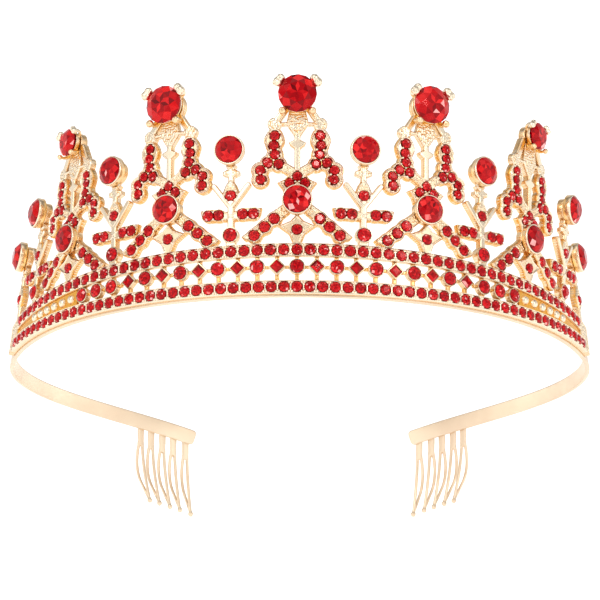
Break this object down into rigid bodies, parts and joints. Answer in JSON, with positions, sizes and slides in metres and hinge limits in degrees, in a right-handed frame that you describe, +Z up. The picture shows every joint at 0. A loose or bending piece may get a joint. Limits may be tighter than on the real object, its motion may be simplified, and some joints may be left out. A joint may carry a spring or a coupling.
{
  "type": "tiara",
  "caption": "Rhinestone hair crown on a flat metal headband with openwork spires, claw-set red stones, a jewelled gallery and a small hair comb at each end.",
  "frame": {"origin": "where the head seat's axis crosses the height of the headband's lower edge at the front centre; the front of the headband is 74.3 mm in front of it", "axes": "+Z up as worn, -Y to the front of the crown, +X to the right of someone looking at its front; the strip, gallery and combs are symmetric about X = 0"},
  "size_m": [0.1522, 0.1368, 0.1168],
  "materials": {
    "strip_metal": "satin champagne gold plating",
    "cast_gold": "polished pale gold plating",
    "setting_gold": "polished pale gold plating",
    "red_stone": "faceted, foil backed",
    "red_chip": "faceted, foil backed"
  },
  "bodies": {
    "root": {"headband": "strip_metal", "comb_left": "strip_metal", "comb_right": "strip_metal", "lower_rail": "cast_gold", "upper_rail": "cast_gold", "gallery_lattice": "cast_gold", "spire_centre": "cast_gold", "mid_cup_centre": "setting_gold", "claw_setting_centre": "setting_gold", "top_stone_centre": "red_stone", "mid_stone_centre": "red_stone", "spire_stones_centre": "red_chip", "spire_inner_left": "cast_gold", "mid_cup_inner_left": "setting_gold", "claw_setting_inner_left": "setting_gold", "top_stone_inner_left": "red_stone", "mid_stone_inner_left": "red_stone", "spire_stones_inner_left": "red_chip", "spire_inner_right": "cast_gold", "mid_cup_inner_right": "setting_gold", "claw_setting_inner_right": "setting_gold", "top_stone_inner_right": "red_stone", "mid_stone_inner_right": "red_stone", "spire_stones_inner_right": "red_chip", "spire_outer_left": "cast_gold", "mid_cup_outer_left": "setting_gold", "claw_setting_outer_left": "setting_gold", "top_stone_outer_left": "red_stone", "mid_stone_outer_left": "red_stone", "spire_stones_outer_left": "red_chip", "spire_outer_right": "cast_gold", "mid_cup_outer_right": "setting_gold", "claw_setting_outer_right": "setting_gold", "top_stone_outer_right": "red_stone", "mid_stone_outer_right": "red_stone", "spire_stones_outer_right": "red_chip", "post_inner_left": "cast_gold", "ball_cup_inner_left": "setting_gold", "post_inner_right": "cast_gold", "ball_cup_inner_right": "setting_gold", "post_middle_left": "cast_gold", "ball_cup_middle_left": "setting_gold", "post_middle_right": "cast_gold", "ball_cup_middle_right": "setting_gold", "post_outer_left": "cast_gold", "ball_cup_outer_left": "setting_gold", "post_outer_right": "cast_gold", "ball_cup_outer_right": "setting_gold", "post_end_left": "cast_gold", "ball_cup_end_left": "setting_gold", "post_end_right": "cast_gold", "ball_cup_end_right": "setting_gold", "ball_stones": "red_stone", "post_stones": "red_chip", "lower_row_stones": "red_chip", "upper_row_stones": "red_chip", "lattice_square_stones": "red_chip", "lattice_round_stones": "red_chip"}
  },
  "joints": []
}
